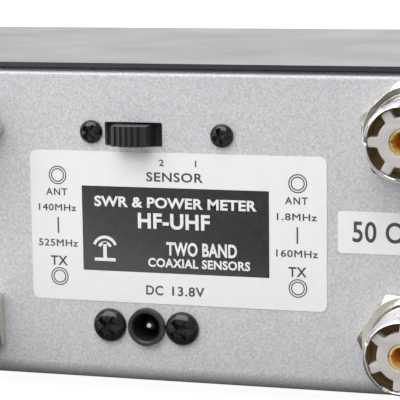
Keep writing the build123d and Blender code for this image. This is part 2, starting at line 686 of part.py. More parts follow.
def mode_button():
    """The push button with its stop flange and plunger."""
    button = rod(BUTTON_R, Y_FRONT - 3.2, -46.0, BUTTON_X, BUTTON_Z)
    button = chamfer(button.edges().group_by(Axis.Y)[0], 0.4)
    button += rod(BUTTON_R + 1.0, -46.1, -45.4, BUTTON_X, BUTTON_Z)
    return button + rod(1.2, -45.4, -40.0, BUTTON_X, BUTTON_Z)


def cal_pot_body():
    """The potentiometer with its bushing and terminals."""
    y0 = Y_BEHIND_SUBPANEL
    body = rod(8.0, y0, y0 + 9, CAL_X, CAL_Z) + rod(CAL_BUSH_R, Y_FRONT - 2.4, y0, CAL_X, CAL_Z)
    for k in (-1, 0, 1):
        body += block(CAL_X + 4 * k - 0.6, CAL_X + 4 * k + 0.6, y0 + 9, BOARD_Y, CAL_Z - 0.3, CAL_Z + 0.3)
    return body - rod(CAL_SHAFT_R + 0.05, Y_FRONT - 4, y0 + 3.2, CAL_X, CAL_Z)


def cal_pot_nut():
    """The nut on the bushing, hidden in the knob."""
    nut = hexagon(5.7, Y_FRONT - 1.8, Y_FRONT, CAL_X, CAL_Z, 15)
    return nut - rod(CAL_BUSH_R + 0.05, Y_FRONT - 4, Y_FRONT + 1, CAL_X, CAL_Z)


def cal_pot_shaft():
    """The six millimetre shaft."""
    return rod(CAL_SHAFT_R, -Y_RIM + 2.4, Y_BEHIND_SUBPANEL + 3, CAL_X, CAL_Z)


def cal_knob():
    """The knurled knob: a hollow skirt, a solid top and a pointer groove."""
    y0, y1 = -Y_RIM, Y_FRONT - CAL_GAP
    knob = rod(CAL_KNOB_R, y0, y1, CAL_X, CAL_Z)
    knob = chamfer(knob.edges().group_by(Axis.Y)[0], 0.8)
    knob -= rod(CAL_KNOB_R - 1.6, y1 - 2.6, y1 + 1, CAL_X, CAL_Z)
    for k in range(24):
        flute = rod(0.45, y0 + 1.5, y1 - 1.5, CAL_KNOB_R + 0.15, 0)
        knob -= Pos(CAL_X, 0, CAL_Z) * Rot(0, 15 * k, 0) * flute
    knob -= block(CAL_X - 0.4, CAL_X + 0.4, y0 - 1, y0 + 0.5, CAL_Z + 2, CAL_Z + 9)
    return knob - rod(CAL_SHAFT_R, y0 + 2.4, y1, CAL_X, CAL_Z)


def control_board():
    """The main circuit board behind the front controls."""
    return block(15, 80, BOARD_Y, BOARD_Y + BOARD_T, Z_LAYOUT + 3, Z_LAYOUT + 63)


def board_components():
    """Two integrated circuits, a regulator and three capacitors on the main board."""
    y0 = BOARD_Y + BOARD_T
    parts = [block(22, 32, y0, y0 + 3.2, 46, 65), block(38, 48, y0, y0 + 3.2, 46, 65)]
    parts.append(block(58, 68, y0, y0 + 4.5, 40, 55))
    for x, z, r, h in ((24, 36, 4, 11), (36, 36, 4, 11), (64, 26, 3, 8)):
        parts.append(rod(r, y0, y0 + h, x, z))
    return group(parts)


# ---- wiring ----

WIRE_R = 0.75
WIRES = {
    "supply_plus": [
        (6.3, 34.4, 17.2), (8, 26, 15), (14, 14, 12), (22, 0, 11), (30, -14, 13), (33, -24, 15), (34, -31.8, 16)
    ],
    "supply_minus": [
        (3.0, 37.3, 20.0), (2, 28, 17), (8, 15, 14.5), (17, 2, 14), (26, -12, 16), (29, -23, 17.5), (30, -31.8, 19)
    ],
    "hf_lead": [
        (4.6, 37.5, 60.0), (1, 30, 63), (-10, 20, 64), (-24, 13, 63), (-38, 14, 61), (-46, 21, 59), (-47, 27.4, 55)
    ],
    "vhf_lead": [
        (12.6, 37.5, 60.0), (16, 30, 63), (24, 21, 64), (34, 16, 63), (43, 19, 60), (47, 25, 57), (47.5, 31.4, 53)
    ],
    "switch_lead": [
        (8.6, 37.5, 56.0), (10, 28, 58), (13, 14, 61), (18, 0, 60), (24, -12, 57), (28, -22, 52), (28, -28.7, 50)
    ],
}


def wire(points):
    """A round wire of straight runs joined by arcs as large as the runs allow."""
    corners = []
    for a, b, c in zip(points, points[1:], points[2:]):
        u, v = Vector(b) - Vector(a), Vector(c) - Vector(b)
        half_turn = math.radians(u.get_angle(v)) / 2
        corners.append(0.45 * min(u.length, v.length) / math.tan(half_turn))
    path = FilletPolyline(*points, radius=corners)
    start = Vector(points[1]) - Vector(points[0])
    return sweep(Plane(origin=points[0], z_dir=start) * Circle(WIRE_R), path=path)


def main():
    os.makedirs("parts", exist_ok=True)
    save("chassis", chassis())
    save("top_cover", top_cover())
    save("cover_screws", cover_screws())
    save("front_bezel", front_bezel())
    save("rubber_feet", rubber_feet())
    save("foot_screws", foot_screws())
    for name, (x, z) in SOCKETS.items():
        save(f"{name}_shell", socket_shell(x, z))
        save(f"{name}_insulator", socket_insulator(x, z, SPOKE_TURN[name]))
        save(f"{name}_contact", socket_contact(x, z))
    save("socket_nuts", socket_nuts())
    save("sensor_switch_frame", sensor_switch_frame())
    save("sensor_switch_body", sensor_switch_body())
    save("sensor_switch_knob", sensor_switch_knob())
    save("sensor_switch_screws", sensor_switch_screws())
    save("dc_jack_body", dc_jack_body())
    save("dc_jack_pin", dc_jack_pin())
    save("dc_jack_spring", spring_leaf(0))
    save("dc_jack_screws", dc_jack_screws())
    save("rear_label", panel_plate(LABEL_W, LABEL_H, 1.5, Y_REAR, Y_REAR + LABEL_T, 0, LABEL_Z))
    small = panel_plate(SMALL_LABEL_W, SMALL_LABEL_H, 0.8, Y_REAR, Y_REAR + LABEL_T, SMALL_LABEL_X, SMALL_LABEL_Z)
    save("small_label", small)
    save("hf_sensor_box", sensor_box(HF_SOCKET_X))
    save("hf_line", hf_line())
    save("hf_toroid", hf_toroid())
    save("hf_sensor_board", sensor_board(HF_SOCKET_X, 28.0))
    save("vhf_sensor_box", sensor_box(VHF_SOCKET_X))
    save("vhf_line", vhf_line())
    save("vhf_sensor_board", sensor_board(VHF_SOCKET_X, 32.0))
    save("meter_housing", meter_housing())
    save("meter_window", meter_window())
    save("meter_dial", meter_dial())
    save("meter_core", rod(CORE_R, *CORE_Y, METER_X, PIVOT_Z))
    save("meter_yoke", meter_yoke())
    save("moving_coil", moving_coil())
    save("meter_arbor", meter_arbor())
    save("meter_needle", meter_needle())
    save("meter_bridges", meter_bridges())
    save("hairspring", hairspring())
    save("zero_adjuster", zero_adjuster())
    for name in LEVERS:
        save(name, slide_lever(name))
    save("front_switch_bodies", front_switch_bodies())
    save("mode_button", mode_button())
    save("cal_pot_body", cal_pot_body())
    save("cal_pot_nut", cal_pot_nut())
    save("cal_pot_shaft", cal_pot_shaft())
    save("cal_knob", cal_knob())
    save("control_board", control_board())
    save("board_components", board_components())
    save("internal_wires", group([wire(points) for points in WIRES.values()]))


main()
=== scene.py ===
import json
import math

import bmesh
import bpy
from mathutils import Matrix, Vector


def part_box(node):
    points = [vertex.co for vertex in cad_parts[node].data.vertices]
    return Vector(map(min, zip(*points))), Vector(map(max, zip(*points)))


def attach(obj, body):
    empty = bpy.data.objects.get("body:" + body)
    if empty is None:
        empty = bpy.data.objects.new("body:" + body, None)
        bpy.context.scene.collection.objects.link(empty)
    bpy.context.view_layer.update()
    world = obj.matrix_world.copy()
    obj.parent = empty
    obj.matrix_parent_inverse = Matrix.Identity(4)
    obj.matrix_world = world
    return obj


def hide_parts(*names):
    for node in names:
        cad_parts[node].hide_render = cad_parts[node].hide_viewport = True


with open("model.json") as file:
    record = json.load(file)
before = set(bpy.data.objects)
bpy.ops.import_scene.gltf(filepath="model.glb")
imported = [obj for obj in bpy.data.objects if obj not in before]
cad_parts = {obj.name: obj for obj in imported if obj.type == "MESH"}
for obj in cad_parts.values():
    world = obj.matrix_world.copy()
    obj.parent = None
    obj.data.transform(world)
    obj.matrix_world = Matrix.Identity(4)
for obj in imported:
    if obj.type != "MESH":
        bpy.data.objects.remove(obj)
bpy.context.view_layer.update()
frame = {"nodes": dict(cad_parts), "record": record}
NODES = frame["nodes"]
MM = 0.001
TAU = 2 * math.pi

# ---- places taken from the frame, in metres ----
Y_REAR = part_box("rear_label")[0].y
Y_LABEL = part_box("rear_label")[1].y
Y_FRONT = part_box("front_bezel")[0].y
Y_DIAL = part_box("meter_dial")[0].y
SOCKET_NAMES = ("hf_ant", "hf_tx", "vhf_ant", "vhf_tx")


def centre(name):
    """The middle of a CAD node's box."""
    low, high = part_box(name)
    return (low + high) / 2


def off_quarter(angle):
    """How far an angle is from the nearest quarter turn."""
    return (angle + math.radians(45)) % math.radians(90) - math.radians(45)


# ---- materials ----

# The noises that the materials share have so many features per metre. The hairlines also run along Y, and
# their depth is in mm.
HANDLING = 45
CLOUDS = 260
HAIRLINES = 900
HAIRLINE_STRETCH = (1, 0.08, 1)
HAIRLINE_DEPTH = 0.004
FLAKES = 5200
ORANGE_PEEL = 2300
PANEL_PATCHES = 30
DUST = 400
FLOOR_PATCHES = 60


def shader_node(tree, kind, **inputs):
    """A shader node with its unlinked inputs set by name."""
    made = tree.nodes.new(kind)
    for key, value in inputs.items():
        made.inputs[key.replace("_", " ")].default_value = value
    return made


def material(name, color, rough, metallic=0.0, **sockets):
    """A principled material. Returns it with its tree, its shader and the object coordinates."""
    mat = bpy.data.materials.new(name)
    mat.use_nodes = True
    tree = mat.node_tree
    shader = tree.nodes["Principled BSDF"]
    shader.inputs["Base Color"].default_value = (*color, 1)
    shader.inputs["Roughness"].default_value = rough
    shader.inputs["Metallic"].default_value = metallic
    for key, value in sockets.items():
        shader.inputs[key.replace("_", " ")].default_value = value
    coords = tree.nodes.new("ShaderNodeTexCoord").outputs["Object"]
    return mat, tree, shader, coords


def noise(tree, coords, per_m, detail=3.0, stretch=(1, 1, 1)):
    """A noise of so many features per metre, 0 to 1."""
    mapping = tree.nodes.new("ShaderNodeMapping")
    mapping.inputs["Scale"].default_value = [per_m * s for s in stretch]
    tree.links.new(coords, mapping.inputs["Vector"])
    made = shader_node(tree, "ShaderNodeTexNoise", Scale=1.0, Detail=detail)
    tree.links.new(mapping.outputs[0], made.inputs["Vector"])
    return made.outputs["Fac"]


def spread(tree, value, low, high, start=0.3, end=0.7):
    """A value from start to end mapped to low..high and held there outside. Most noise is 0.3 to 0.7."""
    made = tree.nodes.new("ShaderNodeMapRange")
    for key, number in zip(("From Min", "From Max", "To Min", "To Max"), (start, end, low, high)):
        made.inputs[key].default_value = number
    tree.links.new(value, made.inputs["Value"])
    return made.outputs["Result"]


def tint(tree, factor, color_a, color_b):
    """A colour between two by a factor."""
    mix = tree.nodes.new("ShaderNodeMix")
    mix.data_type = "RGBA"
    mix.inputs[6].default_value = (*color_a, 1)
    mix.inputs[7].default_value = (*color_b, 1)
    tree.links.new(factor, mix.inputs[0])
    return mix.outputs[2]


def bump(tree, shader, height, depth_mm, after=None):
    """Adds a bump of a real depth to the shader's normal."""
    made = shader_node(tree, "ShaderNodeBump", Strength=1.0, Distance=depth_mm * MM)
    tree.links.new(height, made.inputs["Height"])
    if after is not None:
        tree.links.new(after, made.inputs["Normal"])
    tree.links.new(made.outputs[0], shader.inputs["Normal"])
    return made.outputs[0]


def shade(color, factor):
    """A colour made darker or lighter."""
    return tuple(min(1, c * factor) for c in color)


def grained(name, color, rough, metallic, grain, depth, mottle, wear=0.08, **sockets):
    """A surface with fine grain in colour and relief, and slow changes of roughness as from handling."""
    mat, tree, shader, coords = material(name, color, rough, metallic, **sockets)
    fine = noise(tree, coords, grain, 2.0)
    slow = noise(tree, coords, HANDLING)
    speck = spread(tree, fine, 0, 1)
    mottled = tint(tree, speck, shade(color, 1 - mottle), shade(color, 1 + mottle))
    tree.links.new(mottled, shader.inputs["Base Color"])
    tree.links.new(spread(tree, slow, rough - wear, rough + wear), shader.inputs["Roughness"])
    bump(tree, shader, fine, depth)
    return mat


def plated(name, color, rough):
    """Bright plating with faint hairlines and cloudy patches."""
    mat, tree, shader, coords = material(name, color, rough, 1.0)
    cloud = noise(tree, coords, CLOUDS, 4.0)
    lines = noise(tree, coords, HAIRLINES, 2.0, HAIRLINE_STRETCH)
    tree.links.new(spread(tree, cloud, rough * 0.6, rough * 1.7), shader.inputs["Roughness"])
    clouded = tint(tree, spread(tree, cloud, 0, 1), shade(color, 0.93), color)
    tree.links.new(clouded, shader.inputs["Base Color"])
    bump(tree, shader, lines, HAIRLINE_DEPTH)
    return mat


def panel_paint():
    """Silver grey metallic paint: fine grain, tiny bright flakes and a slight orange peel."""
    color = (0.60, 0.60, 0.625)
    mat, tree, shader, coords = material("panel_paint", color, 0.42, 0.35)
    fine = noise(tree, coords, FLAKES, 1.0)
    middle = noise(tree, coords, ORANGE_PEEL, 2.0)
    total = tree.nodes.new("ShaderNodeMath")
    total.operation = "ADD"
    tree.links.new(fine, total.inputs[0])
    tree.links.new(middle, total.inputs[1])
    mixed = spread(tree, total.outputs[0], 0, 1, 0.7, 1.3)
    tree.links.new(tint(tree, mixed, shade(color, 0.78), shade(color, 1.2)), shader.inputs["Base Color"])
    slow = noise(tree, coords, PANEL_PATCHES, 2.0)
    tree.links.new(spread(tree, slow, 0.38, 0.46), shader.inputs["Roughness"])
    first = bump(tree, shader, fine, 0.010)
    bump(tree, shader, middle, 0.016, after=first)
    return mat


def clear_pane():
    """Clear moulded plastic with faint dust in its roughness."""
    mat, tree, shader, coords = material("clear_pane", (0.95, 0.97, 0.97), 0.05)
    shader.inputs["Transmission Weight"].default_value = 1.0
    shader.inputs["IOR"].default_value = 1.49
    dust = noise(tree, coords, DUST, 4.0)
    tree.links.new(spread(tree, dust, 0.03, 0.09), shader.inputs["Roughness"])
    return mat


# Colour, roughness, metallic, grains per metre, their depth in mm, mottle and, where it isn't the usual, wear.
# The cover's roughness stays over 0.28, because denoising leaves dark islands where it crosses 0.274.
GRAINED = {
    "cover_paint": ((0.030, 0.029, 0.036), 0.312, 0, 1300, 0.004, 0.08, 0.03),
    "front_plastic": ((0.018, 0.018, 0.02), 0.5, 0, 2200, 0.03, 0.2),
    "black_plastic": ((0.022, 0.022, 0.023), 0.38, 0, 1800, 0.008, 0.2),
    "black_screw": ((0.007, 0.007, 0.008), 0.17, 0, 1500, 0.004, 0.25, 0.04),
    "insulator": ((0.47, 0.45, 0.44), 0.4, 0, 600, 0.008, 0.04),
    "insulator_floor": ((0.42, 0.28, 0.10), 0.4, 0, 700, 0.01, 0.1),
    # the bore's gold: darker, more orange and less metallic than the lip's gold, as painted shade deep in the
    # tube
    "shaded_gold_bore": ((0.82, 0.48, 0.12), 0.5, 0.3, 900, 0.004, 0.1),
    "foot_rubber": ((0.012, 0.012, 0.012), 0.75, 0, 1200, 0.03, 0.25),
    "label_film": ((0.76, 0.755, 0.755), 0.42, 0, 500, 0.004, 0.015, 0.04),
    "ferrite": ((0.03, 0.03, 0.033), 0.6, 0, 900, 0.02, 0.2),
    "circuit_board": ((0.015, 0.11, 0.04), 0.35, 0, 300, 0.01, 0.2),
    "component_black": ((0.015, 0.015, 0.016), 0.5, 0, 1500, 0.01, 0.2),
    "meter_plastic": ((0.70, 0.70, 0.67), 0.4, 0, 900, 0.01, 0.03),
    "dial_paper": ((0.83, 0.81, 0.71), 0.6, 0, 1500, 0.004, 0.02),
    "needle_paint": ((0.02, 0.02, 0.02), 0.4, 0, 900, 0.002, 0.1),
    "wire_sleeve": ((0.35, 0.02, 0.015), 0.35, 0, 800, 0.005, 0.1),
    "ink": ((0.055, 0.055, 0.06), 0.4, 0, 900, 0.001, 0.15),
    "box_ink": ((0.026, 0.025, 0.027), 0.16, 0, 700, 0.002, 0.25, 0.04),
    "white_ink": ((0.74, 0.74, 0.74), 0.4, 0, 900, 0.001, 0.03),
    "red_ink": ((0.45, 0.02, 0.02), 0.45, 0, 900, 0.001, 0.05),
}
# other shader sockets of the grained materials
GRAINED_SOCKETS = {
    "insulator": {"Subsurface_Weight": 0.25, "Subsurface_Scale": 0.002},
    "box_ink": {"IOR": 1.85},
}
# colour and roughness
PLATED = {
    "nickel": ((0.78, 0.745, 0.67), 0.15),
    "bright_nickel": ((0.84, 0.83, 0.85), 0.18),
    "gold": ((1.0, 0.84, 0.34), 0.24),
    "brass": ((0.80, 0.62, 0.32), 0.25),
    "spring_steel": ((0.75, 0.75, 0.76), 0.2),
    "shield_tin": ((0.72, 0.73, 0.74), 0.3),
    "copper": ((0.80, 0.36, 0.18), 0.3),
    "iron": ((0.40, 0.40, 0.41), 0.35),
    "magnet": ((0.45, 0.45, 0.46), 0.4),
    "aluminium": ((0.74, 0.74, 0.75), 0.3),
}
MATS = {"panel_paint": panel_paint(), "clear_pane": clear_pane()}
for mat_name, values in GRAINED.items():
    MATS[mat_name] = grained(mat_name, *values, **GRAINED_SOCKETS.get(mat_name, {}))
for mat_name, values in PLATED.items():
    MATS[mat_name] = plated(mat_name, *values)

# ---- pieces ----


def finish_mesh(obj, bevel_mm=0.0, angle=35):
    """Smooth shading with sharp edges kept, and a small bevel where bevel_mm isn't zero."""
    for polygon in obj.data.polygons:
        polygon.use_smooth = True
    obj.data.set_sharp_from_angle(angle=math.radians(angle))
    if bevel_mm:
        mod = obj.modifiers.new("edge", "BEVEL")
        mod.width = bevel_mm * MM
        mod.segments = 2
        mod.limit_method = "ANGLE"
        mod.angle_limit = math.radians(angle)
        mod.harden_normals = True
    return obj


def piece(name, mesh, slot, body="case", mats=None):
    """A new Blender piece on a CAD body."""
    obj = bpy.data.objects.new(name, mesh)
    bpy.context.scene.collection.objects.link(obj)
    for mat in mats or [slot]:
        obj.data.materials.append(MATS[mat])
    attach(obj, body)
    return obj


def from_bmesh(name, bm):
    """A mesh from a bmesh, with its normals outward."""
    bmesh.ops.recalc_face_normals(bm, faces=bm.faces)
    mesh = bpy.data.meshes.new(name)
    bm.to_mesh(mesh)
    bm.free()
    return mesh


# ---- carried-over CAD nodes ----

# the bevel of each node whose edges show, in mm
BEVELS = {
    "dc_jack_body": 0.1, "dc_jack_pin": 0.05, "cover_screws": 0.08, "foot_screws": 0.08, "rubber_feet": 0.4,
    "front_bezel": 0.2, "zero_adjuster": 0.1, "cal_knob": 0.12, "range_lever": 0.15, "function_lever": 0.15,
    "power_lever": 0.15, "mode_button": 0.12,
}
OTHER_FINISH = {"dc_jack_pin": "nickel"}


def dress_cad_nodes():
    """Every carried-over CAD node gets its slot's material, smooth shading and, where it shows, a soft edge."""
    for sub in frame["record"]["subparts"]:
        obj = NODES[sub["node"]]
        obj.data.materials.clear()
        obj.data.materials.append(MATS[OTHER_FINISH.get(sub["node"], sub["material_slot"])])
        finish_mesh(obj, BEVELS.get(sub["node"], 0.0))


dress_cad_nodes()

# ---- solid shapes, in mm ----

PRINT_THICK = 0.02
CIRCLE_POINTS = 64


def taken(data):
    """The points and faces of a curve or text made solid."""
    holder = bpy.data.objects.new("holder", data)
    mesh = bpy.data.meshes.new_from_object(holder)
    points = [tuple(v.co) for v in mesh.vertices]
    faces = [tuple(p.vertices) for p in mesh.polygons]
    bpy.data.objects.remove(holder)
    bpy.data.meshes.remove(mesh)
    bpy.data.curves.remove(data)
    return points, faces


def cut_sheet(loops, thick=PRINT_THICK, rounding=0.0):
    """A flat solid from closed outlines, thick mm deep from zero outward. Inner outlines cut holes."""
    data = bpy.data.curves.new("outline", "CURVE")
    data.dimensions = "2D"
    data.fill_mode = "BOTH"
    data.extrude = thick / 2 - rounding
    data.bevel_depth = rounding
    data.bevel_resolution = 2
    data.offset = -rounding
    for loop in loops:
        spline = data.splines.new("POLY")
        spline.points.add(len(loop) - 1)
        for point, (a, b) in zip(spline.points, loop):
            point.co = (a, b, 0, 1)
        spline.use_cyclic_u = True
    points, faces = taken(data)
    return [(a, b, c + thick / 2) for a, b, c in points], faces


def words(text, spot, size, weight=0.0, spacing=1.0, edge=0.0):
    """Plain lettering fitted to a width and a height about its middle. An edge makes thin strokes fuller."""
    data = bpy.data.curves.new("words", "FONT")
    data.body = text
    data.size = 10
    data.resolution_u = 4
    data.space_character = spacing
    data.offset = weight
    data.extrude = 1 - edge
    data.bevel_depth = edge
    data.bevel_resolution = 0
    points, faces = taken(data)
    low = [min(p[i] for p in points) for i in range(2)]
    high = [max(p[i] for p in points) for i in range(2)]
    scale = [size[i] / (high[i] - low[i]) for i in range(2)]
    middle = [(low[i] + high[i]) / 2 for i in range(2)]
    fitted = [
        (
            spot[0] + (a - middle[0]) * scale[0],
            spot[1] + (b - middle[1]) * scale[1],
            (c + 1) / 2 * PRINT_THICK,
        )
        for a, b, c in points
    ]
    return fitted, faces


def circle(middle, radius):
    """A round outline."""
    return [
        (
            middle[0] + radius * math.cos(TAU * k / CIRCLE_POINTS),
            middle[1] + radius * math.sin(TAU * k / CIRCLE_POINTS),
        )
        for k in range(CIRCLE_POINTS)
    ]


def rectangle(a0, a1, b0, b1):
    """A rectangular outline."""
    return [(a0, b0), (a1, b0), (a1, b1), (a0, b1)]


def arc_band(middle, radius, width, start, end, steps=24):
    """The outline of a band along an arc, from start to end in degrees."""
    angles = [math.radians(start + (end - start) * k / steps) for k in range(steps + 1)]
    outer = [(radius + width / 2, a) for a in angles]
    inner = [(radius - width / 2, a) for a in reversed(angles)]
    return [(middle[0] + r * math.cos(a), middle[1] + r * math.sin(a)) for r, a in outer + inner]


def ring(middle, radius, width):
    """A thin printed ring."""
    return cut_sheet([circle(middle, radius + width / 2), circle(middle, radius - width / 2)])


def bar(a0, a1, b0, b1, thick=PRINT_THICK):
    """A printed bar."""
    return cut_sheet([rectangle(a0, a1, b0, b1)], thick)


def dash(start, end, aside):
    """A printed dash from start to end, reaching aside to both sides."""
    return cut_sheet([[tuple(p) for p in (start - aside, end - aside, end + aside, start + aside)]])


def soften(loop, radius, steps=5):
    """An outline with its corners rounded off."""
    made = []
    count = len(loop)
    for k, point in enumerate(loop):
        here = Vector(point)
        before, after = Vector(loop[k - 1]) - here, Vector(loop[(k + 1) % count]) - here
        if before.angle(after) > math.radians(150):
            made.append(tuple(here))
            continue
        start = here + before.normalized() * min(radius, before.length * 0.45)
        end = here + after.normalized() * min(radius, after.length * 0.45)
        for step in range(steps + 1):
            t = step / steps
            made.append(tuple(start.lerp(here, t).lerp(here.lerp(end, t), t)))
    return made


def mesh_from(name, parts, place):
    """One mesh from several solids, each point moved by place and taken from mm to metres."""
    points, faces = [], []
    for part_points, part_faces in parts:
        start = len(points)
        points += [tuple(MM * v for v in place(*p)) for p in part_points]
        faces += [tuple(start + k for k in face) for face in part_faces]
    mesh = bpy.data.meshes.new(name)
    mesh.from_pydata(points, [], faces)
    bm = bmesh.new()
    bm.from_mesh(mesh)
    bmesh.ops.remove_doubles(bm, verts=bm.verts, dist=1e-7)
    bmesh.ops.recalc_face_normals(bm, faces=bm.faces)
    bm.to_mesh(mesh)
    bm.free()
    return mesh


def print_on(name, parts, ink, slot, y, rear=True, body="case"):
    """Ink on a face at y in metres. Across and up are as the reader sees them, and height is outward."""
    turn = -1 if rear else 1
    mesh = mesh_from(name, parts, lambda a, b, c: (turn * a, y / MM - turn * c, b))
    return piece(name, mesh, slot, body, [ink])


def at(radius, y):
    """A row of a lathed section with the same radius and height all round, in mm."""
    return lambda angle: (radius, y)


def lathe(bm, middle, rows, columns=144, turn=0.0, solid=False):
    """Skins rows about an axis along Y, each giving radius and y by angle, in mm.

    The section is a closed loop of rows, or, when solid, a line of rows from the axis to the axis.
    """
    rings = []
    for row in rows:
        points = []
        for k in range(columns):
            angle = TAU * k / columns
            radius, y = row(angle)
            spot = (radius * math.cos(angle + turn), 0, radius * math.sin(angle + turn))
            points.append(bm.verts.new(middle + MM * Vector(spot) + Vector((0, y * MM, 0))))
        rings.append(points)
    pairs = list(zip(rings, rings[1:]))
    if not solid:
        pairs.append((rings[-1], rings[0]))
    for ring_a, ring_b in pairs:
        for k in range(columns):
            after = (k + 1) % columns
            bm.faces.new((ring_a[k], ring_a[after], ring_b[after], ring_b[k]))
    if solid:
        for end in (rings[0], rings[-1]):
            pole = bm.verts.new(middle + Vector((0, end[0].co.y, 0)))
            for k in range(columns):
                bm.faces.new((end[k], end[(k + 1) % columns], pole))


# ---- UHF sockets, in mm ----

# heights along Y
Y_PANEL = 51.5
Y_NUT = 54.4
Y_RIM = 66.4
Y_INNER = 50.3
Y_FLANGE = 47.8
THREAD_END = Y_RIM - 1.9
# the barrel
PITCH = 25.4 / 24
THREAD_R = 7.94
THREAD_DEPTH = 0.3
ROWS_PER_TURN = 9
SHANK_R = 7.7
FLANGE_R = 8.8
FLANGE_BORE_R = 5.0
BORE_R = 7.0
NOTCH_HALF = math.radians(5.5)
NOTCH_DEPTH = 0.75
# radius and depth below the rim's top, from outside to the bore
RIM_PROFILE = (
    (7.8, 0.8), (7.64, 0.5), (7.46, 0.24), (7.3, 0.06), (7.18, 0), (7.08, 0.06), (7.02, 0.22), (BORE_R, 0.6)
)
# the nuts
NUT_CORNER_R = 11.3
NUT_TURNED_R = 11.18
NUT_FACE_R = 9.95
NUT_BORE_R = 8.0
NUT_SLOPE = 0.62
# the insulator
HUB_R = 5.0
SPOKE_HALF = 1.0
SPIDER_BORE_R = 2.66
Y_SPIDER = 65.6
SPIDER_DEEP = 3.0
Y_POCKET = 60.6
Y_TAIL_END = 45.8
CORE_BORE_R = 2.64
CORE_TAIL_R = 4.98
CORE_R = 6.98
# the contact
Y_LIP = 65.3
TUBE_R = 2.6
TUBE_BORE_R = 2.0
TAIL_R = 1.5
SLIT_DEPTH = 1.6
SLIT_HALF = math.radians(2)
TUBE_DEEP = 10.4
# radius and depth below the lip's top, from outside to the bore
LIP_PROFILE = ((2.62, 0.3), (2.58, 0.09), (2.5, 0.02), (2.3, 0), (2.1, 0.03), (2.03, 0.12), (TUBE_BORE_R, 0.3))
# how far each socket's pieces stand turned, in degrees
NOTCH_TURN = {"hf_ant": 3, "hf_tx": 25, "vhf_ant": 12, "vhf_tx": 40}
SPOKE_TURN = {"hf_ant": 0, "hf_tx": -24, "vhf_ant": -12, "vhf_tx": -40}
NUT_TURN = {"hf_ant": -43.5, "hf_tx": -57.7, "vhf_ant": -56, "vhf_tx": -31}
SLIT_TURN = 5


def socket_axis(name):
    """A point on a socket's axis, at y zero."""
    middle = centre(name + "_contact")
    return Vector((middle.x, 0, middle.z))


def thread_row(y):
    """A row of the screw thread: a rounded V that runs out into the lead-in at the rim."""

    def row(angle):
        phase = (y / PITCH + angle / TAU) % 1
        groove = abs(2 * phase - 1) ** 1.3
        radius = THREAD_R - THREAD_DEPTH * groove
        runout = min(1.0, max(0.0, (THREAD_END + 0.5 - y) / PITCH))
        return radius * runout + (THREAD_R - 0.06) * (1 - runout), y

    return row


def rim_row(radius, y):
    """A row near the rim, slightly uneven, and sunk where the rim has its four notches."""

    def row(angle):
        sunk = abs(off_quarter(angle)) < NOTCH_HALF
        wave = 0.03 * math.sin(7 * angle) + 0.02 * math.sin(13 * angle + 1)
        return radius + wave * 0.5, min(y, Y_RIM - NOTCH_DEPTH) if sunk else y - 0.03 + wave

    return row


def socket_barrel(name):
    """The plated barrel: flange and shank, the thread, a rounded notched rim and the bore."""
    rows = [at(FLANGE_BORE_R, Y_FLANGE), at(FLANGE_R, Y_FLANGE), at(FLANGE_R, Y_INNER)]
    rows += [at(SHANK_R, Y_INNER), at(SHANK_R, Y_NUT - 0.4)]
    span = Y_RIM - 1.15 - Y_NUT
    steps = int(span / PITCH * ROWS_PER_TURN)
    rows += [thread_row(Y_NUT + span * k / steps) for k in range(steps + 1)]
    rows.append(at(THREAD_R - 0.07, Y_RIM - 1.05))
    rows += [rim_row(radius, Y_RIM - deep) for radius, deep in RIM_PROFILE]
    rows += [at(BORE_R, Y_RIM - 1.2), at(BORE_R, 60), at(BORE_R, Y_INNER), at(FLANGE_BORE_R, Y_INNER)]
    bm = bmesh.new()
    lathe(bm, socket_axis(name), rows, turn=math.radians(NOTCH_TURN[name]))
    barrel = piece(name + "_barrel", from_bmesh(name + "_barrel", bm), "nickel", "case", ["bright_nickel"])
    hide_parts(name + "_shell")
    finish_mesh(barrel, angle=50)


def panel_nuts():
    """The four hexagon nuts, each stopped at its own angle, with turned corners."""
    flat = NUT_CORNER_R * math.cos(math.radians(30))

    def hexagon(angle):
        off = angle % math.radians(60) - math.radians(30)
        return min(flat / math.cos(off), NUT_TURNED_R)

    def edge(angle):
        return hexagon(angle), Y_NUT - 0.1 - NUT_SLOPE * max(0, hexagon(angle) - NUT_FACE_R)

    def face_edge(angle):
        return min(NUT_FACE_R, hexagon(angle) - 0.12), Y_NUT

    def side(grow, y):
        return lambda angle: (hexagon(angle) + grow, y)

    rows = [at(NUT_BORE_R, Y_PANEL), side(-0.2, Y_PANEL), side(0, Y_PANEL + 0.2), edge, face_edge]
    rows += [at(NUT_BORE_R + 0.55, Y_NUT), at(NUT_BORE_R, Y_NUT - 0.45)]
    bm = bmesh.new()
    for name in SOCKET_NAMES:
        lathe(bm, socket_axis(name), rows, turn=math.radians(NUT_TURN[name]))
    nuts = piece("panel_nuts", from_bmesh("panel_nuts", bm), "nickel")
    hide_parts("socket_nuts")
    finish_mesh(nuts, 0.07, 24)


def spider_outline(turn):
    """The face of the insulator: a hub with six straight spokes."""
    reach = BORE_R - 0.03
    loop = []
    for k in range(6):
        spoke = turn + k * TAU / 6
        for sign in (-1, 1):
            loop.append((reach, spoke + sign * math.asin(SPOKE_HALF / reach)))
        start = spoke + math.asin(SPOKE_HALF / HUB_R)
        end = spoke + TAU / 6 - math.asin(SPOKE_HALF / HUB_R)
        loop += [(HUB_R, start + (end - start) * t / 8) for t in range(9)]
    return [(radius * math.cos(angle), radius * math.sin(angle)) for radius, angle in loop]


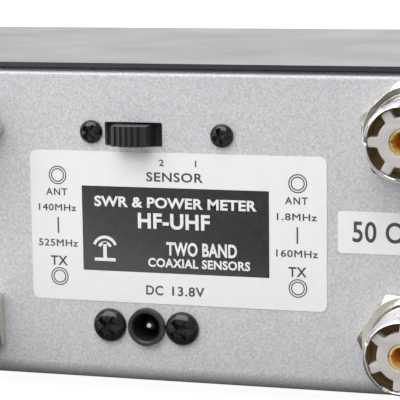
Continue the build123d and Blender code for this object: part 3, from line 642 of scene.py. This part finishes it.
def socket_insulator(name):
    """The milky spoked face over a darker core, seen down through the pockets."""
    axis = socket_axis(name)
    across, up = axis.x / MM, axis.z / MM
    outline = soften(spider_outline(math.radians(SPOKE_TURN[name])), 0.55)
    face = cut_sheet([outline, circle((0, 0), SPIDER_BORE_R)], SPIDER_DEEP, 0.2)
    mesh = mesh_from(name + "_spider", [face], lambda a, b, c: (across + a, Y_SPIDER - c, up + b))
    spider = piece(name + "_spider", mesh, "insulator")
    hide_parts(name + "_insulator")
    finish_mesh(spider, angle=30)
    core = [at(CORE_BORE_R, Y_SPIDER - SPIDER_DEEP), at(4.9, Y_SPIDER - SPIDER_DEEP), at(4.95, Y_POCKET + 0.4)]
    core += [at(5.3, Y_POCKET), at(6.6, Y_POCKET), at(CORE_R, Y_POCKET + 0.5), at(CORE_R, Y_INNER)]
    core += [at(CORE_TAIL_R, Y_INNER), at(CORE_TAIL_R, Y_TAIL_END), at(CORE_BORE_R, Y_TAIL_END)]
    bm = bmesh.new()
    lathe(bm, axis, core, 96)
    floor = piece(name + "_core", from_bmesh(name + "_core", bm), "insulator", "case", ["insulator_floor"])
    finish_mesh(floor, angle=40)


def socket_contact(name):
    """The gilt contact tube: a rolled lip with four fine slits, a deep bore whose gold is painted darker as
    shade, and the solder tail.
    """
    low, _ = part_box(name + "_contact")

    def lip(radius, y):
        return lambda angle: (radius, y - (SLIT_DEPTH if abs(off_quarter(angle)) < SLIT_HALF else 0))

    rows = [at(TAIL_R, low.y / MM), at(TAIL_R, Y_TAIL_END + 0.1), at(TUBE_R, Y_TAIL_END + 0.1)]
    rows.append(at(TUBE_R, Y_LIP - 2.4))
    rows += [lip(radius, Y_LIP - deep) for radius, deep in LIP_PROFILE]
    rows += [at(TUBE_BORE_R, Y_LIP - 2.4), at(TUBE_BORE_R, Y_LIP - TUBE_DEEP)]
    rows += [at(TUBE_BORE_R - 0.4, Y_LIP - TUBE_DEEP - 0.6), at(0.3, Y_LIP - TUBE_DEEP - 0.6)]
    axis = socket_axis(name)
    bm = bmesh.new()
    lathe(bm, axis, rows, turn=math.radians(SLIT_TURN), solid=True)
    mesh = from_bmesh(name + "_contact_tube", bm)
    contact = piece(name + "_contact_tube", mesh, "gold", "case", ["gold", "shaded_gold_bore"])
    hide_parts(name + "_contact")
    # Faces inside the bore take the darker gold: painted shade.
    for polygon in mesh.polygons:
        off = (polygon.center - axis) / MM
        if math.hypot(off.x, off.z) < TUBE_BORE_R + 0.03 and 50 < off.y < Y_LIP - 0.3:
            polygon.material_index = 1
    finish_mesh(contact, angle=40)


for socket_name in SOCKET_NAMES:
    socket_barrel(socket_name)
    socket_insulator(socket_name)
    socket_contact(socket_name)
panel_nuts()

# ---- screws on the rear panel ----

# Each pair of screws in mm: radius and height of the head, reach and half width of the cross's arms, radius and
# length of the shank. Then how far the left and the right cross stand turned, seen from behind, in degrees.
SCREWS = {
    "sensor_switch_screws": (2.5, 1.5, 1.7, 0.4, 1.25, 5.0, (-50, -20)),
    "dc_jack_screws": (3.65, 2.0, 2.5, 0.56, 1.5, 6.0, (-45, -38)),
}
HEAD_EDGE = 0.22
CROSS_FLARE = 0.16
CROSS_END = 0.16
CROSS_WALL = 0.1


def cross_screw(bm, middle, head_r, head_h, arm, half_w, shank_r, length, turn):
    """A round-headed screw with a cross recess, its head on the rear panel."""
    y_face = Y_REAR / MM

    def crown(radius):
        def row(angle):
            height = HEAD_EDGE + (head_h - HEAD_EDGE) * math.sqrt(max(0, 1 - (radius / head_r) ** 2.5))
            off = off_quarter(angle)
            along, aside = radius * math.cos(off), abs(radius * math.sin(off))
            flare = half_w + CROSS_FLARE * along / arm
            inside = min(1, max(0, (arm - along) / CROSS_END)) * min(1, max(0, (flare - aside) / CROSS_WALL))
            sunk = head_h * (0.9 - 0.42 * along / arm)
            return radius, y_face + height - inside * sunk

        return row

    steps = int(head_r / 0.09)
    rows = [at(0.2, y_face - length), at(shank_r - 0.2, y_face - length), at(shank_r, y_face - length + 0.3)]
    rows += [at(shank_r, y_face), at(head_r - 0.1, y_face), at(head_r, y_face + 0.1)]
    rows += [crown(head_r * (1 - k / steps) + 0.02) for k in range(1, steps + 1)]
    lathe(bm, middle, rows, 120, math.radians(turn), solid=True)


def rear_screws(node_name):
    """A pair of screws at the outer ends of a CAD node's box."""
    *sizes, turns = SCREWS[node_name]
    low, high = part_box(node_name)
    rim = sizes[0] * MM
    spots = (Vector((high.x - rim, 0, high.z - rim)), Vector((low.x + rim, 0, low.z + rim)))
    bm = bmesh.new()
    for spot, turn in zip(spots, turns):
        cross_screw(bm, spot, *sizes, turn)
    name = node_name + "_heads"
    screws = piece(name, from_bmesh(name, bm), "black_screw")
    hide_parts(node_name)
    finish_mesh(screws, angle=50)


for screws_name in SCREWS:
    rear_screws(screws_name)

# ---- sensor knob, in mm ----

KNOB_HALF_H = 4.3 / 2
KNOB_BACK = 50.0
KNOB_BOW = 0.75
GROOVES = 5
GROOVE_PITCH = 1.27
GROOVE_DEPTH = 0.5
FIRST_GROOVE = 0.5
KNOB_STEPS = 120
STEM_HALF_W = 2
STEM_HALF_H = 1.1
STEM_BACK = 44.2


def sensor_knob():
    """The slide knob with rounded grooves across its bowed face, and its stem."""
    low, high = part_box("sensor_switch_knob")
    x0, x1, y1 = low.x / MM, high.x / MM, high.y / MM
    slot_z = centre("sensor_switch_knob").z / MM
    middle, half = (x0 + x1) / 2, (x1 - x0) / 2

    def front(x):
        bow = y1 - KNOB_BOW * ((x - middle) / half) ** 2
        phase = (x1 - FIRST_GROOVE - x) / GROOVE_PITCH
        grooved = 0 < phase < GROOVES
        return bow - (GROOVE_DEPTH * max(0, math.sin(TAU * (phase - 0.25))) ** 0.6 if grooved else 0)

    across = [x0 + (x1 - x0) * k / KNOB_STEPS for k in range(KNOB_STEPS + 1)]
    outline = [(x1, KNOB_BACK), (x0, KNOB_BACK)] + [(x, front(x)) for x in across]
    solid = cut_sheet([outline], 2 * KNOB_HALF_H)
    stem_outline = rectangle(middle - STEM_HALF_W, middle + STEM_HALF_W, STEM_BACK, KNOB_BACK)
    stem = cut_sheet([stem_outline], 2 * STEM_HALF_H)
    parts = [
        ([(a, b, c + slot_z - KNOB_HALF_H) for a, b, c in solid[0]], solid[1]),
        ([(a, b, c + slot_z - STEM_HALF_H) for a, b, c in stem[0]], stem[1]),
    ]
    mesh = mesh_from("sensor_knob_cap", parts, lambda a, b, c: (a, b, c))
    knob = piece("sensor_knob_cap", mesh, "black_plastic", "sensor_knob")
    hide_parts("sensor_switch_knob")
    finish_mesh(knob, 0.12, 60)


sensor_knob()

# ---- print on the rear labels, in mm across and up as the reader sees it ----

# The labels' print is laid out from this height, as the features of the CAD's panels are.
LAYOUT_Z = 5.0
# stroke weights, as a font offset and as a bevelled edge, which leaves the letter M whole
PRINT_WEIGHT = 0.2
BOLD_WEIGHT = 0.32
FINE_EDGE = 0.16
RING_WIDTH = 0.24
RING_GAP = 0.52
BLACK_PANEL = (-20.8, 20.2, 28.6, 46.9)
AERIAL = (-15.85, LAYOUT_Z + 28.4)
AERIAL_LINE = 0.62


def twin_ring(middle, radius):
    """Two thin printed rings about a point."""
    return [ring(middle, radius, RING_WIDTH), ring(middle, radius - RING_GAP, RING_WIDTH)]


def column(across, band_low, band_high, z_ant, z_tx):
    """One socket pair's column: rings, ANT, the band, TX and rings."""
    return [
        *twin_ring((across, z_ant), 1.88),
        words("ANT", (across - 0.3, z_ant - 3.6), (4.8, 1.55), PRINT_WEIGHT, 1.2),
        words(band_low, (across - 0.2, z_ant - 7.0), (8.5, 1.5), spacing=1.1, edge=FINE_EDGE),
        bar(across - 0.29, across + 0.05, z_ant - 12.6, z_ant - 9.1),
        words(band_high, (across - 0.2, z_ant - 14.7), (8.9, 1.55), spacing=1.1, edge=FINE_EDGE),
        words("TX", (across - 0.1, z_tx + 3.45), (3.85, 2.08), PRINT_WEIGHT, 1.1),
        *twin_ring((across - 0.05, z_tx), 1.86),
    ]


def aerial_sign():
    """A plain aerial sign: a mast on its foot under two arcs."""
    return [
        bar(-16.25, -15.45, LAYOUT_Z + 26.4, LAYOUT_Z + 29.8),
        cut_sheet([arc_band(AERIAL, 1.3, AERIAL_LINE, 20, 160)]),
        cut_sheet([arc_band(AERIAL, 2.5, AERIAL_LINE, 20, 160)]),
        bar(-18.2, -13.5, LAYOUT_Z + 25.7, LAYOUT_Z + 26.4),
    ]


def rear_prints():
    """The lettering, the black panel of the big label and the impedance on the small one."""
    dark = column(-26.2, "140MHz", "525MHz", LAYOUT_Z + 43.98, LAYOUT_Z + 21.95)
    dark += column(26.3, "1.8MHz", "160MHz", LAYOUT_Z + 43.69, LAYOUT_Z + 21.67)
    dark += [
        words("2", (-2.95, LAYOUT_Z + 47.23), (1.03, 1.40), PRINT_WEIGHT),
        words("1", (4.5, LAYOUT_Z + 47.18), (0.3, 1.36), PRINT_WEIGHT),
        words("SENSOR", (-0.15, LAYOUT_Z + 44.18), (12.4, 2.02), PRINT_WEIGHT, 1.1),
        words("DC", (-4.92, LAYOUT_Z + 19.81), (3.76, 2.1), PRINT_WEIGHT, 1.1),
        words("13.8V", (2.54, LAYOUT_Z + 19.82), (7.13, 2.04), PRINT_WEIGHT, 1.1),
    ]
    print_on("label_lettering", dark, "ink", "label_film", Y_LABEL)
    box = cut_sheet([soften(rectangle(*BLACK_PANEL), 0.15, 3)])
    print_on("label_black_panel", [box], "box_ink", "label_film", Y_LABEL)
    white = [
        words("SWR & POWER METER", (-0.22, LAYOUT_Z + 38.67), (35.6, 2.3), BOLD_WEIGHT, 1.04),
        words("HF-UHF", (-0.46, LAYOUT_Z + 34.75), (15.8, 3.35), BOLD_WEIGHT, 1.06),
        words("TWO BAND", (5.55, LAYOUT_Z + 28.92), (15.4, 2.95), BOLD_WEIGHT, 1.04),
        words("COAXIAL SENSORS", (4.91, LAYOUT_Z + 25.84), (22.3, 1.95), BOLD_WEIGHT, 1.06),
        *aerial_sign(),
    ]
    print_on("label_white_lettering", white, "white_ink", "label_film", Y_LABEL + PRINT_THICK * MM)
    small = [words("50 OHM", (47.0, LAYOUT_Z + 34.1), (18.5, 4.4), spacing=1.05, edge=FINE_EDGE)]
    print_on("small_label_lettering", small, "ink", "label_film", Y_LABEL)


rear_prints()

# ---- meter dial and front lettering, in mm ----

SWR_R = 27.5
SWR_FIGURES_R = 30.6
SWR_STOPS = (("1", 0), ("1.5", 0.2), ("2", 0.34), ("3", 0.53), ("5", 0.72), ("10", 0.88))
POWER_R = 21.4
POWER_FIGURES_R = 17.9
POWER_STOPS = (("0", 0), ("5", 0.25), ("10", 0.5), ("15", 0.75), ("20", 1.0))
RED_R = 28.3
SCALE_LINE = 0.34
FIGURE_EDGE = 0.2
FIGURE_H = 2.0
FIGURE_W = {"1": 0.75, ".": 0.5}
DIAL_START, DIAL_SPAN = 135, 90


def dial_print():
    """Two generic scales on the dial: standing wave ratio above, power below."""
    pivot = centre("meter_arbor") / MM
    middle = Vector((pivot.x, pivot.z))

    def outward(share):
        angle = math.radians(DIAL_START - DIAL_SPAN * share)
        return Vector((math.cos(angle), math.sin(angle)))

    def tick(radius, length, share, half_width):
        along = outward(share)
        aside = Vector((-along.y, along.x)) * half_width
        return dash(middle + along * radius, middle + along * (radius + length), aside)

    def figure(value, radius, share):
        width = 0.42 if value == "1" else sum(FIGURE_W.get(digit, 1.35) for digit in value)
        spot = middle + outward(share) * radius
        return words(value, spot, (width, FIGURE_H), spacing=1.1, edge=FIGURE_EDGE)

    black = [cut_sheet([arc_band(middle, radius, SCALE_LINE, 45, 135, 48)]) for radius in (SWR_R, POWER_R)]
    for value, share in SWR_STOPS:
        black.append(tick(SWR_R, -2.0, share, 0.2))
        black.append(figure(value, SWR_FIGURES_R, share))
    for k in range(21):
        length, half_width = (1.7, 0.18) if k % 5 == 0 else (1.0, 0.12)
        black.append(tick(POWER_R, -length, k / 20, half_width))
    for value, share in POWER_STOPS:
        black.append(figure(value, POWER_FIGURES_R, share))
    for k in range(1, 12):
        black.append(tick(SWR_R, -1.1, 0.88 * (k / 12) ** 0.9, 0.12))
    black.append(words("SWR", middle + Vector((-27.0, 24.5)), (6.6, 2.5), spacing=1.1, edge=0.25))
    black.append(words("W", middle + Vector((0, 12.2)), (3.2, 2.5), edge=0.25))
    print_on("dial_scales", black, "ink", "dial_paper", Y_DIAL, rear=False)
    red = [cut_sheet([arc_band(middle, RED_R, 0.9, 45, 87, 36)])]
    print_on("dial_red_band", red, "red_ink", "dial_paper", Y_DIAL, rear=False)


# lever, its title, its stops and how far the middle of its slot lies beside it
LEVERS = (
    ("range_lever", "RANGE", ("5", "20", "200"), 0),
    ("function_lever", "FUNCTION", ("PWR", "CAL", "SWR"), 0),
    ("power_lever", "SUPPLY", ("OFF", "ON"), 1.5),
)
TITLE_END = 44.0
STOP_PITCH = 5.4
STOP_UP = 4.6
FRONT_EDGE = 0.22
KNOB_SCALE = (9.5, 11.1)


def front_lettering():
    """Plain words and figures beside the front controls."""
    marks = []

    def label(text, x, z, height, pitch):
        marks.append(words(text, (x, z), (len(text) * pitch, height), spacing=1.1, edge=FRONT_EDGE))

    for name, title, stops, aside in LEVERS:
        lever = centre(name) / MM
        label(title, TITLE_END - len(title) * 0.85, lever.z, 2.1, 1.7)
        for k, stop in enumerate(stops):
            x = lever.x + aside + (k - (len(stops) - 1) / 2) * STOP_PITCH
            label(stop, x, lever.z + STOP_UP, 1.6, 1.25)
    button = centre("mode_button") / MM
    label("AVG", button.x - 3.2, button.z + 6.8, 1.8, 1.45)
    label("PEP", button.x + 3.2, button.z + 6.8, 1.8, 1.45)
    knob = centre("cal_knob") / MM
    label("MIN", knob.x - 11.8, knob.z - 6.8, 1.7, 1.35)
    label("MAX", knob.x + 11.8, knob.z - 6.8, 1.7, 1.35)
    for k in range(11):
        turn = math.radians(240 - 30 * k)
        along = Vector((math.cos(turn), math.sin(turn)))
        start, end = (Vector((knob.x, knob.z)) + along * radius for radius in KNOB_SCALE)
        marks.append(dash(start, end, along.orthogonal() * 0.22))
    print_on("front_lettering", marks, "white_ink", "front_plastic", Y_FRONT, rear=False)


def knob_pointer():
    """The white line in the knob's groove."""
    low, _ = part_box("cal_knob")
    knob = centre("cal_knob") / MM
    groove_floor = low.y + 0.5 * MM
    line = bar(knob.x - 0.38, knob.x + 0.38, knob.z + 2.05, knob.z + 7.1, thick=0.35)
    print_on("knob_pointer", [line], "white_ink", "black_plastic", groove_floor, rear=False, body="cal_knob")


dial_print()
front_lettering()
knob_pointer()

# ---- stage, light and camera, in metres ----

WORLD_FAR = 1.5
WORLD_NEAR = 0.42
WORLD_TURN = (-0.95, -0.3)
FLOOR_GLOW = 0.6
# Three cards lie on the floor, one over another. The camera doesn't see them and they cast no shadow: they
# darken the light that comes up from the floor, and what the meter's bright parts mirror.
NEAR_CARD = ((-1.4, -1.4), (0.25, -1.4), (0.25, 1.4), (-1.4, 1.4))
STRIP = ((-1.4, -0.07), (1.4, -0.07), (1.4, 0.078), (-1.4, 0.078))
DARK_CARD = (
    (-1.4, 0.165), (0.01, 0.17), (0.05, 0.206), (0.092, 0.257), (0.135, 0.33), (0.32, 0.6), (0.32, 1.4),
    (-1.4, 1.4),
)
# name, tone, outline and height over the floor
CARDS = (
    ("near_card", 0.42, NEAR_CARD, 0.0004),
    ("shade_card", 0.08, STRIP, 0.0006),
    ("dark_card", 0.03, DARK_CARD, 0.0008),
)
# name, place, aim, size and power in watts
LIGHTS = (
    ("key_soft", (0.2, 0.8, 0.85), (0, 0.05, 0.04), (1.3, 0.8), 12.0),
    ("top_soft", (0.1, 0.15, 0.9), (0, 0, 0.03), (0.9, 0.9), 4.0),
    ("left_soft", (0.9, 0.8, 0.5), (0, 0.05, 0.04), (0.6, 0.6), 2.0),
    ("rim_soft", (1.0, -0.25, 0.65), (0, 0.05, 0.04), (0.7, 0.6), 2.0),
)
CAMERA_SPOT = Vector((-0.1079, 0.4085, 0.1061))
CAMERA_AIM = Vector((-0.00532, 0.0515, 0.04457))
CAMERA_ROLL = math.radians(-0.75)
LENS_MM = 162.0


def area_light(name, spot, aim, size, power):
    """A soft rectangular light."""
    data = bpy.data.lights.new(name, "AREA")
    data.shape = "RECTANGLE"
    data.size, data.size_y = size
    data.energy = power
    obj = bpy.data.objects.new(name, data)
    bpy.context.scene.collection.objects.link(obj)
    obj.location = spot
    obj.rotation_mode = "QUATERNION"
    obj.rotation_quaternion = (Vector(aim) - Vector(spot)).to_track_quat("-Z", "Y")


def studio_world():
    """White for the camera, and for light a grey that is much brighter beyond the meter's front."""
    world = bpy.data.worlds.new("studio")
    bpy.context.scene.world = world
    world.use_nodes = True
    tree = world.node_tree
    back = tree.nodes["Background"]
    split = tree.nodes.new("ShaderNodeSeparateXYZ")
    tree.links.new(tree.nodes.new("ShaderNodeTexCoord").outputs["Generated"], split.inputs[0])
    lit = spread(tree, split.outputs["Y"], WORLD_FAR, WORLD_NEAR, *WORLD_TURN)
    seen = tree.nodes.new("ShaderNodeMix")
    tree.links.new(tree.nodes.new("ShaderNodeLightPath").outputs["Is Camera Ray"], seen.inputs[0])
    tree.links.new(lit, seen.inputs[2])
    seen.inputs[3].default_value = 1.0
    tree.links.new(seen.outputs[0], back.inputs["Strength"])
    back.inputs["Color"].default_value = (1, 1, 1, 1)


def flat_stage(name, mat, outline, z):
    """A flat sheet that belongs to the stage."""
    bm = bmesh.new()
    bm.faces.new([bm.verts.new((x, y, z)) for x, y in outline])
    flat = bpy.data.objects.new(name, from_bmesh(name, bm))
    bpy.context.scene.collection.objects.link(flat)
    flat.data.materials.append(mat)
    return flat


def stage():
    """A pale floor, a white surrounding, soft lights and three darker cards that only reflections see."""
    studio_world()
    floor_mat, tree, shader, coords = material(
        "floor_paper", (0.95, 0.95, 0.95), 0.7, Emission_Strength=FLOOR_GLOW
    )
    shader.inputs["Emission Color"].default_value = (1, 1, 1, 1)
    tree.links.new(spread(tree, noise(tree, coords, FLOOR_PATCHES), 0.65, 0.75), shader.inputs["Roughness"])
    flat_stage("floor", floor_mat, rectangle(-3, 3, -3, 3), 0)
    for name, tone, outline, z in CARDS:
        card_mat = material(name, (tone, tone * 0.98, tone * 0.94), 0.8)[0]
        card = flat_stage(name, card_mat, outline, z)
        card.visible_camera = False
        card.visible_shadow = False
    for light in LIGHTS:
        area_light(*light)


def camera():
    """The camera stands behind the meter, above it and towards the HF sockets."""
    data = bpy.data.cameras.new("camera")
    data.sensor_width = 36.0
    data.lens = LENS_MM
    data.clip_start = 0.01
    obj = bpy.data.objects.new("camera", data)
    bpy.context.scene.collection.objects.link(obj)
    obj.location = CAMERA_SPOT
    obj.rotation_mode = "QUATERNION"
    look = (CAMERA_AIM - CAMERA_SPOT).to_track_quat("-Z", "Y")
    obj.rotation_quaternion = look @ Matrix.Rotation(CAMERA_ROLL, 3, "Z").to_quaternion()
    bpy.context.scene.camera = obj


stage()
camera()
bpy.context.scene.view_settings.view_transform = "Standard"
